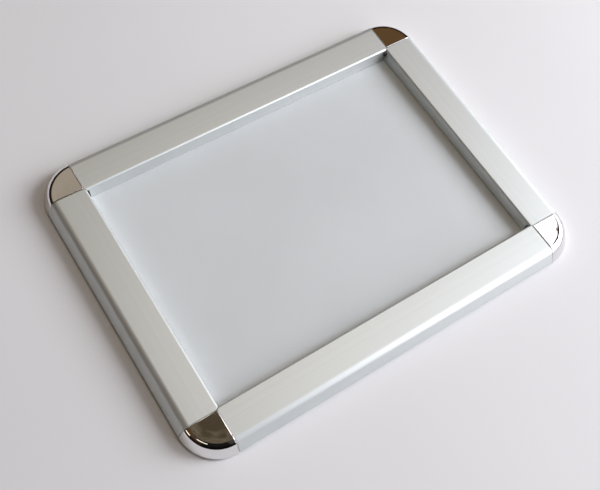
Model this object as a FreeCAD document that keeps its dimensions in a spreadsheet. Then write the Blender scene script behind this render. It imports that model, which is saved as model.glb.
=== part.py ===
"""Aluminium snap frame with quarter-round chromed corners, lying on its back.

X runs along the long side, Y along the short side and Z up out of the picture side.
The origin is in the middle of the frame, on the plane of its back.
Every rail is drawn as a section: first number from the outer edge inwards, second number upwards.
Every corner piece is drawn from the window corner of the flaps, both numbers outwards.
"""
import FreeCAD, Part
import math
import os
import re

import Sketcher

Vector = FreeCAD.Vector

# Driving sizes in millimetres and degrees: name, value, what it is
SIZES = [
    ("insert_length", 297, "long side of the sheets the frame holds"),
    ("insert_width", 210, "short side of the sheets the frame holds"),
    ("insert_overlap", 6.5, "how far the lips cover each edge of the sheets"),
    ("insert_gap", 0.3, "play between a sheet edge and the rail"),
    ("rail_width", 35, "outer edge of a rail to the tip of its lip"),
    ("rail_height", 13.5, "table to the flat face of a flap"),
    ("lip_reach", 3.5, "how far the lip leans into the window beyond the flat face"),
    ("lip_skin", 1.3, "thickness of the leaning lip"),
    ("lip_gap", 0.1, "lip to cover sheet"),
    ("flap_skin", 1.4, "thickness of a flap's face and outer wall"),
    ("wall_slope", 28.8, "lean of the outer wall from upright, degrees"),
    ("shoulder_radius", 6.5, "rounding between face and outer wall"),
    ("nose_radius", 1.8, "rounding of the face's window edge"),
    ("nose_depth", 2.1, "height of that edge"),
    ("nose_undercut", 0.8, "groove between that edge and the lip"),
    ("hinge_height", 2.15, "table to the hinge axis"),
    ("claw_radius", 2, "outside of the flap's hinge claw"),
    ("bead_radius", 0.95, "hinge bead of a base rail"),
    ("hinge_gap", 0.08, "radial play of the hinge"),
    ("mouth_end", 151, "where the claw's mouth begins, degrees below the inward direction"),
    ("tail_angle", 24, "lean of the snap tail, degrees"),
    ("tail_reach", 4.65, "hinge axis to the end of the snap tail"),
    ("tail_skin", 1, "thickness of the snap tail"),
    ("neck_angle", 26, "lean of the neck that carries the bead, degrees"),
    ("neck_skin", 0.9, "thickness of that neck"),
    ("floor_skin", 1.6, "floor of a base rail"),
    ("floor_setback", 0.5, "floor edge behind the tip of the lip"),
    ("web_place", 11, "outer edge to the spring web"),
    ("web_skin", 1.2, "thickness of web and rib"),
    ("web_height", 7.6, "table to the top of the spring web"),
    ("rib_height", 5.2, "table to the top of the rib that stops the sheets"),
    ("ledge_reach", 1.2, "ledges that close the key channel"),
    ("ledge_skin", 0.8, "thickness of those ledges"),
    ("mitre_gap", 0.15, "gap between neighbouring mitres, half of it on each"),
    ("panel_skin", 1, "back panel"),
    ("cover_skin", 0.5, "cover sheet"),
    ("key_skin", 2.6, "corner key"),
    ("key_width", 8, "key across its channel"),
    ("key_leg", 30, "key leg inside a rail"),
    ("key_gap", 0.15, "play of the key in its channel"),
    ("cap_proud", 0.4, "cap above the flaps"),
    ("cap_skin", 1.5, "wall of a cap"),
    ("cap_gap", 0.25, "cap to the end of a flap"),
    ("cap_edge", 10.75, "rounded edge and wall of a cap, seen from above"),
    ("cap_round", 8.4, "rounding of the cap's edge"),
    ("cap_crease_drop", 3.7, "cap top down to its crease"),
    ("cap_toe_height", 2.2, "upright foot of a cap"),
    ("cap_toe_inset", 0.1, "wall to the foot of a cap"),
    ("cap_rim_radius", 0.35, "rounding of the cap's straight rims"),
    ("post_gap", 0.2, "corner post to the lips beside it"),
    ("post_split", 6.9, "table to the step of the corner post"),
    ("post_step", 0.8, "depth of that step"),
    ("boss_radius", 3.5, "screw boss of a cap"),
    ("screw_radius", 1.45, "shank of a cap screw"),
    ("screw_gap", 0.05, "play around the shank"),
    ("screw_head_radius", 2.75, "head of a cap screw"),
    ("screw_length", 9.4, "length of a cap screw"),
    ("hole_radius", 2.5, "wall screw hole"),
    ("hole_spacing", 180, "wall screw holes along the long side"),
    ("spring_length", 18, "leaf spring along the rail"),
    ("spring_leaf", 0.5, "sheet of the leaf spring"),
    ("spring_gap", 0.12, "spring to the sweep of the tail"),
    ("spring_curl", 0.9, "turned-up end of the leaf spring"),
    ("spring_curl_lean", 60, "lean of that end from straight away from the hinge, degrees"),
    ("spring_place_share", 0.3, "spring from the middle of its rail, as a share of the rail"),
    ("overrun", 1, "how far cuts run past what they cut"),
]

# Sizes that follow from the ones above
DERIVED = [
    ("window_length", "insert_length - 2 * insert_overlap"),
    ("window_width", "insert_width - 2 * insert_overlap"),
    ("long_rail", "window_length + 2 * lip_reach"),
    ("short_rail", "window_width + 2 * lip_reach"),
    ("outer_length", "window_length + 2 * rail_width"),
    ("outer_width", "window_width + 2 * rail_width"),
    ("face_width", "rail_width - lip_reach"),
    ("wall_foot", "claw_radius * (1 - cos(wall_slope))"),
    ("wall_foot_height", "hinge_height + claw_radius * sin(wall_slope)"),
    ("wall_top", "wall_foot + (rail_height - wall_foot_height) * tan(wall_slope)"),
    ("face_under", "rail_height - flap_skin"),
    ("wall_inside", "flap_skin / cos(wall_slope)"),
    ("shoulder_inside", "wall_top - flap_skin * tan(wall_slope) + wall_inside"),
    ("mouth_start", "tail_angle - asin(tail_skin / 2 / claw_radius) / 1 deg"),
    ("claw_middle", "(claw_radius + bead_radius + hinge_gap) / 2"),
    ("wall_join_height", "hinge_height + claw_middle"),
    ("wall_join", "wall_foot + (wall_join_height - wall_foot_height) * tan(wall_slope) + wall_inside"),
    ("nose_edge", "face_width + nose_radius"),
    ("nose_under", "rail_height - nose_depth"),
    ("lip_top", "nose_edge - nose_undercut"),
    ("seat_top", "floor_skin + panel_skin + cover_skin"),
    ("lip_under", "seat_top + lip_gap"),
    ("neck_half", "neck_skin / 2"),
    ("neck_up", "claw_radius + neck_half * sin(neck_angle)"),
    ("neck_up_height", "hinge_height + neck_half * cos(neck_angle)"),
    ("neck_down", "claw_radius - neck_half * sin(neck_angle)"),
    ("neck_down_height", "hinge_height - neck_half * cos(neck_angle)"),
    ("floor_top_start", "neck_up + (neck_up_height - floor_skin) / tan(neck_angle)"),
    ("floor_start", "neck_down + neck_down_height / tan(neck_angle)"),
    ("floor_end", "rail_width - floor_setback"),
    ("rib_inside", "rail_width - insert_overlap - insert_gap"),
    ("rib_outside", "rib_inside - web_skin"),
    ("web_inside", "web_place + web_skin"),
    ("ledge_under", "rib_height - ledge_skin"),
    ("channel_outside", "rib_outside - key_width - 2 * key_gap"),
    ("channel_middle", "(channel_outside + rib_outside) / 2"),
    ("key_near", "face_width - rib_outside + key_gap"),
    ("key_far", "key_near + key_width"),
    ("key_middle", "(key_near + key_far) / 2"),
    ("key_top", "floor_skin + key_skin"),
    ("cap_top", "rail_height + cap_proud"),
    ("cap_reach", "face_width - cap_gap"),
    ("cap_flat", "cap_reach - cap_edge"),
    ("cap_crease_height", "cap_top - cap_crease_drop"),
    ("cavity_round", "cap_round - cap_skin"),
    ("cavity_reach", "cap_reach - 2 * cap_skin"),
    ("cavity_flat", "cap_flat - cap_skin"),
    ("cavity_top", "cap_top - cap_skin"),
    ("cavity_crease_height", "cap_top - cap_round + cavity_round * (cap_round - cap_crease_drop) / cap_round"),
    ("post_reach", "lip_reach - post_gap"),
    ("post_top", "nose_under - post_gap"),
]

NAMES = [row[0] for row in SIZES] + [row[0] for row in DERIVED]
WORD = re.compile(r"\b(" + "|".join(sorted(NAMES, key=len, reverse=True)) + r")\b")

doc = FreeCAD.newDocument("snap_frame")
sheet = doc.addObject("Spreadsheet::Sheet", "sizes")
for row, (name, size, note) in enumerate(SIZES, start=1):
    sheet.set("A%d" % row, name)
    sheet.set("B%d" % row, str(size))
    sheet.setAlias("B%d" % row, name)
    sheet.set("C%d" % row, note)
for row, (name, formula) in enumerate(DERIVED, start=len(SIZES) + 1):
    sheet.set("A%d" % row, name)
    sheet.set("B%d" % row, "=" + formula)
    sheet.setAlias("B%d" % row, name)
doc.recompute()


def linked(formula):
    """Return the formula with every size name pointed at the sheet."""
    return WORD.sub(r"sizes.\1", formula)


def value(formula):
    """Return the number that a formula of sizes comes to."""
    return float(sheet.evalExpression(linked(formula)))


def bind(thing, prop, formula):
    """Tie one property of a document object to a formula of sizes."""
    thing.setExpression(prop, linked(formula))


def origin_plane(body, role):
    """Return the body's own base plane of that role."""
    return [f for f in body.Origin.OriginFeatures if f.Role == role][0]


def new_sketch(body, label, role):
    """Start a sketch on one of the body's own base planes."""
    sketch = body.newObject("Sketcher::SketchObject", label)
    sketch.AttachmentSupport = (origin_plane(body, role), [""])
    sketch.MapMode = "FlatFace"
    return sketch


def place_point(sketch, item, end, across, up, tag):
    """Fix a point of the sketch; a coordinate given as None stays free, one given as 0 lies on the axis."""
    for kind, axis, formula in (("DistanceX", -2, across), ("DistanceY", -1, up)):
        if formula is None:
            continue
        if formula == "0":
            sketch.addConstraint(Sketcher.Constraint("PointOnObject", item, end, axis))
            continue
        rule = sketch.addConstraint(Sketcher.Constraint(kind, -1, 1, item, end, value(formula)))
        sketch.renameConstraint(rule, "%s_%s" % (tag, kind[-1].lower()))
        bind(sketch, "Constraints.%s_%s" % (tag, kind[-1].lower()), formula)


def draw_outline(sketch, corners, tag="p"):
    """Draw a closed outline of straight lines through corners given as pairs of formulas."""
    spots = [Vector(value(across), value(up), 0) for across, up in corners]
    count = len(spots)
    items = []
    for i in range(count):
        items.append(sketch.addGeometry(Part.LineSegment(spots[i], spots[(i + 1) % count]), False))
    for i in range(count):
        sketch.addConstraint(Sketcher.Constraint("Coincident", items[i], 2, items[(i + 1) % count], 1))
        place_point(sketch, items[i], 1, corners[i][0], corners[i][1], "%s%d" % (tag, i))


def draw_circle(sketch, across, up, radius, tag="c"):
    """Draw a circle with a fixed centre."""
    circle = Part.Circle(Vector(value(across), value(up), 0), Vector(0, 0, 1), value(radius))
    item = sketch.addGeometry(circle, False)
    place_point(sketch, item, 3, across, up, tag)
    rule = sketch.addConstraint(Sketcher.Constraint("Radius", item, value(radius)))
    sketch.renameConstraint(rule, tag + "_radius")
    bind(sketch, "Constraints.%s_radius" % tag, radius)


def feature(body, kind, label, sketch):
    """Add a feature of the body that uses a sketch, and leave the sketch hidden in it."""
    made = body.newObject("PartDesign::" + kind, label)
    made.Profile = sketch
    return made


def pad(body, label, sketch, length, middle=False):
    """Pad a sketch by a formula of sizes, to both sides of its plane when middle is set."""
    made = feature(body, "Pad", label, sketch)
    bind(made, "Length", length)
    made.Midplane = middle
    return made


def cut_through(body, label, sketch):
    """Cut a sketch right through the body on both sides of its plane."""
    made = feature(body, "Pocket", label, sketch)
    made.Type = "ThroughAll"
    made.Midplane = True
    return made


def cut_up(body, label, sketch, depth):
    """Cut a sketch on the ground plane upwards by a formula of sizes."""
    doc.recompute()
    before = body.Tip.Shape.Volume
    made = feature(body, "Pocket", label, sketch)
    made.Reversed = True
    bind(made, "Length", depth)
    doc.recompute()
    if not made.Shape.Volume < before:
        raise RuntimeError("cut takes nothing away: " + label)
    return made


def edges_along_x(shape, across, up):
    """Name the edges that run along X through the section point (across, up)."""
    wanted = []
    for number, edge in enumerate(shape.Edges, start=1):
        ends = [vertex.Point for vertex in edge.Vertexes]
        near = all(abs(p.y - across) < 1e-4 and abs(p.z - up) < 1e-4 for p in ends)
        if near and len(ends) == 2:
            wanted.append("Edge%d" % number)
    return wanted


def round_edge(body, label, across, up, radius):
    """Round the edge that runs along X through a section point given by formulas."""
    doc.recompute()
    base = body.Tip
    names = edges_along_x(base.Shape, value(across), value(up))
    made = body.newObject("PartDesign::Fillet", label)
    made.Base = (base, names)
    bind(made, "Radius", radius)
    return made


def on_side(body, side):
    """Stand a rail, drawn outer edge first, on its side of the frame."""
    turn, spot, formula = {
        "bottom": (0, "y", "-outer_width / 2"),
        "top": (180, "y", "outer_width / 2"),
        "left": (-90, "x", "-outer_length / 2"),
        "right": (90, "x", "outer_length / 2"),
    }[side]
    body.Placement.Rotation = FreeCAD.Rotation(Vector(0, 0, 1), turn)
    bind(body, "Placement.Base." + spot, formula)


def in_corner(thing, corner, outwards="0"):
    """Stand a corner piece, drawn with both sides outwards, at its corner of the window."""
    turn, left, low = {
        "top_right": (0, "", ""),
        "top_left": (90, "-", ""),
        "bottom_left": (180, "-", "-"),
        "bottom_right": (270, "", "-"),
    }[corner]
    thing.Placement.Rotation = FreeCAD.Rotation(Vector(0, 0, 1), turn)
    bind(thing, "Placement.Base.x", "%s(long_rail / 2 + %s)" % (left, outwards))
    bind(thing, "Placement.Base.y", "%s(short_rail / 2 + %s)" % (low, outwards))


SIDES = {"bottom": "long_rail", "top": "long_rail", "left": "short_rail", "right": "short_rail"}
CORNERS = ("bottom_left", "bottom_right", "top_right", "top_left")


def mitre_corners(length, side):
    """Give the outline that trims one end of a rail to a mitre, from the inner corner of its flat face on."""
    run = "(lip_reach + overrun)"
    end = "%s%s / 2" % (side, length)
    inward = "-" if side == "" else "+"
    outward = "+" if side == "" else "-"
    return [
        (end, "face_width - mitre_gap"),
        ("%s %s overrun" % (end, outward), "face_width - mitre_gap"),
        ("%s %s overrun" % (end, outward), "rail_width + overrun"),
        ("%s %s mitre_gap %s %s" % (end, inward, inward, run), "rail_width + overrun"),
    ]


def trim_mitres(body, length):
    """Mitre what leans past the flat face at both ends of a rail."""
    sketch = new_sketch(body, "mitres", "XY_Plane")
    draw_outline(sketch, mitre_corners(length, ""), "a")
    draw_outline(sketch, mitre_corners(length, "-"), "b")
    cut_through(body, "mitre_cut", sketch)


def make_base_rail(side, length):
    """Base rail: floor, hinge bead on its neck, spring web, key channel and seat of the sheets."""
    body = doc.addObject("PartDesign::Body", "base_rail_" + side)
    section = new_sketch(body, "floor_section", "YZ_Plane")
    draw_outline(section, [
        ("neck_down", "neck_down_height"),
        ("floor_start", "0"),
        ("floor_end", "0"),
        ("floor_end", "floor_skin"),
        ("floor_top_start", "floor_skin"),
        ("neck_up", "neck_up_height"),
    ])
    pad(body, "floor", section, length, middle=True)
    web = new_sketch(body, "web_section", "YZ_Plane")
    draw_outline(web, [
        ("web_place", "0"), ("web_inside", "0"), ("web_inside", "web_height"), ("web_place", "web_height"),
    ])
    pad(body, "web", web, length, middle=True)
    for label, foot, lean in (
        ("sheet_rib", "rib_outside", "-"),
        ("key_rib", "channel_outside", "+"),
    ):
        other = "+" if lean == "-" else "-"
        rib = new_sketch(body, label + "_section", "YZ_Plane")
        draw_outline(rib, [
            (foot, "0"),
            (foot, "ledge_under"),
            ("%s %s ledge_reach" % (foot, lean), "ledge_under"),
            ("%s %s ledge_reach" % (foot, lean), "rib_height"),
            ("%s %s web_skin" % (foot, other), "rib_height"),
            ("%s %s web_skin" % (foot, other), "0"),
        ])
        pad(body, label, rib, length, middle=True)
    bead = new_sketch(body, "bead_section", "YZ_Plane")
    draw_circle(bead, "claw_radius", "hinge_height", "bead_radius")
    pad(body, "bead", bead, length, middle=True)
    trim_mitres(body, length)
    if length == "long_rail":
        holes = new_sketch(body, "wall_holes", "XY_Plane")
        draw_circle(holes, "hole_spacing / 2", "channel_middle", "hole_radius", "right")
        draw_circle(holes, "-hole_spacing / 2", "channel_middle", "hole_radius", "left")
        cut_through(body, "wall_hole_cut", holes)
    on_side(body, side)
    return body


def make_flap(side, length):
    """Snap flap: flat face, rounded shoulder, leaning wall, hinge claw, snap tail and leaning lip."""
    body = doc.addObject("PartDesign::Body", "flap_" + side)
    section = new_sketch(body, "flap_section", "YZ_Plane")
    draw_outline(section, [
        ("wall_foot", "wall_foot_height"),
        ("wall_top", "rail_height"),
        ("nose_edge", "rail_height"),
        ("nose_edge", "nose_under"),
        ("lip_top", "nose_under - nose_undercut / 2"),
        ("rail_width", "lip_under"),
        ("rail_width - lip_skin", "lip_under"),
        ("lip_top - lip_skin", "nose_under - nose_undercut / 2"),
        ("lip_top - lip_skin", "face_under"),
        ("shoulder_inside", "face_under"),
        ("wall_join", "wall_join_height"),
    ])
    pad(body, "shell", section, length, middle=True)
    round_edge(body, "shoulder", "wall_top", "rail_height", "shoulder_radius")
    round_edge(body, "inner_shoulder", "shoulder_inside", "face_under", "shoulder_radius - flap_skin")
    round_edge(body, "nose", "nose_edge", "rail_height", "nose_radius")
    claw = new_sketch(body, "claw_section", "YZ_Plane")
    draw_circle(claw, "claw_radius", "hinge_height", "claw_radius")
    pad(body, "claw", claw, length, middle=True)
    tail = new_sketch(body, "tail_section", "YZ_Plane")
    root = "(claw_radius - hinge_gap)"
    along = ("cos(tail_angle)", "sin(tail_angle)")
    corners = []
    for reach, half in ((root, "-"), ("tail_reach", "-"), ("tail_reach", "+"), (root, "+")):
        other = "+" if half == "-" else "-"
        corners.append((
            "claw_radius + %s * %s %s tail_skin / 2 * %s" % (reach, along[0], other, along[1]),
            "hinge_height + %s * %s %s tail_skin / 2 * %s" % (reach, along[1], half, along[0]),
        ))
    draw_outline(tail, corners)
    pad(body, "tail", tail, length, middle=True)
    mouth = new_sketch(body, "mouth_section", "YZ_Plane")
    sweep = "(claw_radius + overrun)"
    draw_outline(mouth, [
        ("claw_radius", "hinge_height"),
        ("claw_radius - %s * cos(180 - mouth_end)" % sweep, "hinge_height - %s * sin(180 - mouth_end)" % sweep),
        ("claw_radius - %s" % sweep, "hinge_height - 2 * %s" % sweep),
        ("claw_radius + 2 * %s" % sweep, "hinge_height - 2 * %s" % sweep),
        ("claw_radius + %s * cos(mouth_start)" % sweep, "hinge_height + %s * sin(mouth_start)" % sweep),
    ])
    cut_through(body, "mouth", mouth)
    bore = new_sketch(body, "bore_section", "YZ_Plane")
    draw_circle(bore, "claw_radius", "hinge_height", "bead_radius + hinge_gap")
    cut_through(body, "bore", bore)
    trim_mitres(body, length)
    doc.recompute()
    notches = new_sketch(body, "post_notches", "XY_Plane")
    for tag, sign in (("a", ""), ("b", "-")):
        inner = "%s(%s / 2 - lip_reach - post_gap)" % (sign, length)
        outer = "%s(%s / 2 + overrun)" % (sign, length)
        draw_outline(notches, [
            (inner, "lip_top - lip_skin - overrun / 2"),
            (outer, "lip_top - lip_skin - overrun / 2"),
            (outer, "rail_width + overrun"),
            (inner, "rail_width + overrun"),
        ], tag)
    cut_up(body, "post_notch_cut", notches, "nose_under")
    on_side(body, side)
    return body


def make_corner_key(corner):
    """Corner key: flat L that slides into the channels of two base rails, with a countersunk hole."""
    body = doc.addObject("PartDesign::Body", "corner_key_" + corner)
    plan = new_sketch(body, "key_plan", "XY_Plane")
    bind(plan, "AttachmentOffset.Base.z", "floor_skin")
    draw_outline(plan, [
        ("-key_leg", "key_near"),
        ("key_near", "key_near"),
        ("key_near", "-key_leg"),
        ("key_far", "-key_leg"),
        ("key_far", "key_far"),
        ("-key_leg", "key_far"),
    ])
    pad(body, "key", plan, "key_skin")
    hole = new_sketch(body, "screw_hole", "XY_Plane")
    draw_circle(hole, "key_middle", "key_middle", "screw_radius + screw_gap")
    cut_through(body, "screw_hole_cut", hole)
    sink = new_sketch(body, "sink_section", "XZ_Plane")
    bind(sink, "AttachmentOffset.Base.x", "key_middle")
    bind(sink, "AttachmentOffset.Base.z", "-key_middle")
    wide = "(screw_head_radius + screw_gap)"
    draw_outline(sink, [
        ("0", "floor_skin"),
        (wide, "floor_skin"),
        ("0", "floor_skin + %s" % wide),
    ])
    groove = feature(body, "Groove", "countersink", sink)
    groove.ReferenceAxis = (sink, ["V_Axis"])
    in_corner(body, corner)
    return body


def draw_cap_section(sketch, flat, top, rounding, crease, toe, toe_height, foot, reach):
    """Draw half the section of a cap: flat top, rounded edge down to the crease, leaning wall and foot."""
    start = Vector(value(flat), value(top), 0)
    drop = value(top) - value(crease)
    radius = value(rounding)
    bend = Vector(value(flat) + math.sqrt(radius ** 2 - (radius - drop) ** 2), value(crease), 0)
    middle = Vector(value(flat), value(top) - radius, 0)
    lines = [
        (Vector(0, value(foot), 0), Vector(0, value(top), 0)),
        (Vector(0, value(top), 0), start),
        (bend, Vector(value(toe), value(toe_height), 0)),
        (Vector(value(toe), value(toe_height), 0), Vector(value(reach), value(foot), 0)),
        (Vector(value(reach), value(foot), 0), Vector(0, value(foot), 0)),
    ]
    axis, face, wall, toe_line, ground = [sketch.addGeometry(Part.LineSegment(a, b), False) for a, b in lines]
    angles = [math.atan2(p.y - middle.y, p.x - middle.x) for p in (bend, start)]
    circle = Part.Circle(middle, Vector(0, 0, 1), radius)
    edge = sketch.addGeometry(Part.ArcOfCircle(circle, angles[0], angles[1]), False)
    joins = ((axis, 2, face, 1), (face, 2, edge, 2), (edge, 1, wall, 1), (wall, 2, toe_line, 1))
    for first, first_end, second, second_end in joins + ((toe_line, 2, ground, 1), (ground, 2, axis, 1)):
        sketch.addConstraint(Sketcher.Constraint("Coincident", first, first_end, second, second_end))
    place_point(sketch, axis, 1, "0", foot, "foot")
    place_point(sketch, axis, 2, "0", top, "top")
    place_point(sketch, face, 2, flat, top, "flat")
    place_point(sketch, edge, 3, flat, "%s - %s" % (top, rounding), "round")
    place_point(sketch, wall, 1, None, crease, "crease")
    place_point(sketch, wall, 2, toe, toe_height, "toe")
    place_point(sketch, toe_line, 2, reach, foot, "reach")


def make_corner_cap(corner):
    """Corner cap: hollow quarter round with end walls, screw boss and the post seen in the window corner."""
    body = doc.addObject("PartDesign::Body", "corner_cap_" + corner)
    outside = new_sketch(body, "cap_section", "XZ_Plane")
    draw_cap_section(outside, "cap_flat", "cap_top", "cap_round", "cap_crease_height",
                     "cap_reach - cap_toe_inset", "cap_toe_height", "0", "cap_reach")
    quarter = feature(body, "Revolution", "cap", outside)
    quarter.ReferenceAxis = (outside, ["V_Axis"])
    quarter.Angle = 90
    doc.recompute()
    if quarter.Shape.BoundBox.YMax < value("cap_reach") / 2:
        quarter.Reversed = True
    inside = new_sketch(body, "cavity_section", "XZ_Plane")
    bind(inside, "AttachmentOffset.Base.x", "cap_skin")
    bind(inside, "AttachmentOffset.Base.z", "-cap_skin")
    draw_cap_section(inside, "cavity_flat", "cavity_top", "cavity_round", "cavity_crease_height",
                     "cavity_reach - cap_toe_inset", "cap_toe_height", "-overrun", "cavity_reach")
    doc.recompute()
    before = quarter.Shape.Volume
    cavity = feature(body, "Groove", "cavity", inside)
    cavity.ReferenceAxis = (inside, ["V_Axis"])
    cavity.Angle = 90
    cavity.Reversed = quarter.Reversed
    doc.recompute()
    if not cavity.Shape.Volume < before / 2:
        cavity.Reversed = not cavity.Reversed
    clear = new_sketch(body, "key_clearance", "XY_Plane")
    reach = "(key_far - cap_gap + post_gap)"
    draw_outline(clear, [
        ("-overrun", "-overrun"), (reach, "-overrun"), (reach, reach), ("-overrun", reach),
    ])
    cut_up(body, "key_clearance_cut", clear, "key_top")
    for label, reach, low, high in (
        ("post_foot", "post_reach", "seat_top", "post_split"),
        ("post", "post_reach - post_step", "post_split", "post_top"),
    ):
        plan = new_sketch(body, label + "_plan", "XY_Plane")
        bind(plan, "AttachmentOffset.Base.z", low)
        edge = "-(%s + cap_gap)" % reach
        draw_outline(plan, [(edge, edge), ("cap_skin", edge), ("cap_skin", "cap_skin"), (edge, "cap_skin")])
        pad(body, label, plan, "%s - %s" % (high, low))
    boss = new_sketch(body, "boss_plan", "XY_Plane")
    bind(boss, "AttachmentOffset.Base.z", "key_top")
    draw_circle(boss, "key_middle - cap_gap", "key_middle - cap_gap", "boss_radius")
    pad(body, "boss", boss, "cavity_top - key_top + cap_skin / 2")
    bore = new_sketch(body, "bore_plan", "XY_Plane")
    draw_circle(bore, "key_middle - cap_gap", "key_middle - cap_gap", "screw_radius + screw_gap")
    cut_up(body, "bore_cut", bore, "floor_skin + screw_length + screw_gap")
    doc.recompute()
    rims = []
    bored = body.Tip
    for number, line in enumerate(bored.Shape.Edges, start=1):
        ends = [vertex.Point for vertex in line.Vertexes]
        on_top = all(abs(p.z - value("cap_top")) < 1e-4 for p in ends)
        if len(ends) == 2 and on_top and line.Curve.TypeId == "Part::GeomLine":
            rims.append("Edge%d" % number)
    softened = body.newObject("PartDesign::Fillet", "rims")
    softened.Base = (bored, rims)
    bind(softened, "Radius", "cap_rim_radius")
    in_corner(body, corner, "cap_gap")
    return body


def make_cap_screws():
    """Four countersunk screws, from under the keys up into the bosses of the caps."""
    screws = []
    for corner in CORNERS:
        head = doc.addObject("Part::Cone", "head_" + corner)
        bind(head, "Radius1", "screw_head_radius")
        head.Radius2 = 0
        bind(head, "Height", "screw_head_radius")
        shank = doc.addObject("Part::Cylinder", "shank_" + corner)
        bind(shank, "Radius", "screw_radius")
        bind(shank, "Height", "screw_length")
        drive = doc.addObject("Part::Prism", "drive_" + corner)
        drive.Polygon = 6
        bind(drive, "Circumradius", "screw_radius * 0.7")
        bind(drive, "Height", "screw_radius")
        whole = doc.addObject("Part::Fuse", "whole_" + corner)
        whole.Base = head
        whole.Tool = shank
        screw = doc.addObject("Part::Cut", "screw_" + corner)
        screw.Base = whole
        screw.Tool = drive
        in_corner(screw, corner, "key_middle")
        bind(screw, "Placement.Base.z", "floor_skin")
        screws.append(screw)
    group = doc.addObject("Part::Compound", "cap_screws")
    group.Links = screws
    return group


def make_sheet(label, low, skin):
    """Flat sheet of the insert's format, lying at a height."""
    flat = doc.addObject("Part::Box", label)
    bind(flat, "Length", "insert_length")
    bind(flat, "Width", "insert_width")
    bind(flat, "Height", skin)
    bind(flat, "Placement.Base.x", "-insert_length / 2")
    bind(flat, "Placement.Base.y", "-insert_width / 2")
    bind(flat, "Placement.Base.z", low)
    return flat


def make_spring(side, number, length):
    """Leaf spring: bent strip clipped over the web, its end just clear of the tip of the tail."""
    leaf = value("spring_leaf")
    gap = value("spring_gap")
    axis = Vector(value("claw_radius"), value("hinge_height"), 0)
    tail_tip = math.hypot(value("tail_reach"), value("tail_skin") / 2)
    press = tail_tip + gap + leaf / 2
    tip_angle = math.radians(value("tail_angle")) + math.atan(value("tail_skin / 2 / tail_reach"))
    touch = tip_angle + value("tail_skin") / press
    bend = axis + Vector(press * math.cos(touch), press * math.sin(touch), 0)
    back = value("web_inside") + leaf / 2
    front = value("web_place") - leaf / 2
    ridge = value("web_height") + leaf / 2
    curl = value("spring_curl")
    lean = touch + math.radians(value("spring_curl_lean"))
    path = [
        Vector(back, value("rib_height") + gap + leaf / 2, 0),
        Vector(back, ridge, 0),
        Vector(front, ridge, 0),
        bend,
        bend + Vector(curl * math.cos(lean), curl * math.sin(lean), 0),
    ]
    strip = Part.makePolygon(path).makeOffset2D(leaf / 2, 0, True, False, False)
    width = value("spring_length")
    turned = FreeCAD.Placement(Vector(-width / 2, 0, 0), FreeCAD.Rotation(Vector(1, 1, 1), 120))
    solid = strip.extrude(Vector(0, 0, width))
    solid.Placement = turned.multiply(solid.Placement)
    spring = doc.addObject("Part::Feature", "spring_%s_%d" % (side, number))
    spring.Shape = Part.Solid(solid.Solids[0])
    on_side(spring, side)
    along = "y" if side in ("left", "right") else "x"
    sign = "-" if number == 1 else ""
    bind(spring, "Placement.Base." + along, "%sspring_place_share * %s" % (sign, length))
    return spring


pieces = []
for side, length in SIDES.items():
    pieces.append(make_base_rail(side, length))
for side, length in SIDES.items():
    pieces.append(make_flap(side, length))
for corner in CORNERS:
    pieces.append(make_corner_key(corner))
for corner in CORNERS:
    pieces.append(make_corner_cap(corner))
for side, length in SIDES.items():
    for number in (1, 2):
        pieces.append(make_spring(side, number, length))
pieces.append(make_cap_screws())
pieces.append(make_sheet("back_panel", "floor_skin", "panel_skin"))
pieces.append(make_sheet("cover_sheet", "floor_skin + panel_skin", "cover_skin"))
doc.recompute()

for thing in doc.Objects:
    if "Invalid" in thing.State or "Error" in thing.State:
        raise RuntimeError("failed: %s %s" % (thing.Label, thing.State))
os.makedirs("parts", exist_ok=True)
for piece in pieces:
    shape = piece.Shape
    if shape.isNull() or not shape.isValid() or not shape.Solids:
        raise RuntimeError("bad shape: " + piece.Label)
    print("%-28s %2d solids %10.1f mm3" % (piece.Label, len(shape.Solids), shape.Volume))
    shape.exportStep("parts/%s.step" % piece.Label)
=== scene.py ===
"""Clip frame with four hinged snap flaps and rounded chromed corners, lying on a pale table.

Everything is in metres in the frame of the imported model; sizes of the sections are written in millimetres.
"""

import logging
import math
from dataclasses import dataclass
from enum import Enum
from typing import Any, Sequence

import bpy
import numpy as np
from mathutils import Matrix, Vector
from mathutils.geometry import tessellate_polygon


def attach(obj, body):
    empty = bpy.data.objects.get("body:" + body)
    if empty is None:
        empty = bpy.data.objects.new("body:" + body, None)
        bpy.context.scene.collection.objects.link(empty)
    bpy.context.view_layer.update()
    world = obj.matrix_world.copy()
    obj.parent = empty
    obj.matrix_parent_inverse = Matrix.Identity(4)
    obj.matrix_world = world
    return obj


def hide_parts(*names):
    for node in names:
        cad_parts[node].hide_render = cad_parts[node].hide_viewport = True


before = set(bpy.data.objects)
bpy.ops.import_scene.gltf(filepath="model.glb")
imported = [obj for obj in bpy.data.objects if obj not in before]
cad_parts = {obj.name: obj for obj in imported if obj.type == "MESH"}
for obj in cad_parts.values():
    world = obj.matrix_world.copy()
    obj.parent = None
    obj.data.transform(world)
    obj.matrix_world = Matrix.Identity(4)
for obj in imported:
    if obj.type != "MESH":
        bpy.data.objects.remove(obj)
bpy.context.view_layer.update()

LOG = logging.getLogger("clip_frame")
MM = 0.001
TINY = 1e-6
RIM_STEPS = (0.0, 0.05, 0.15, 0.3, 0.55, 1.0)  # stations across the rounding of a rim, as shares of it
Points = np.ndarray
Tree = bpy.types.NodeTree
Node = bpy.types.Node


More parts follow.
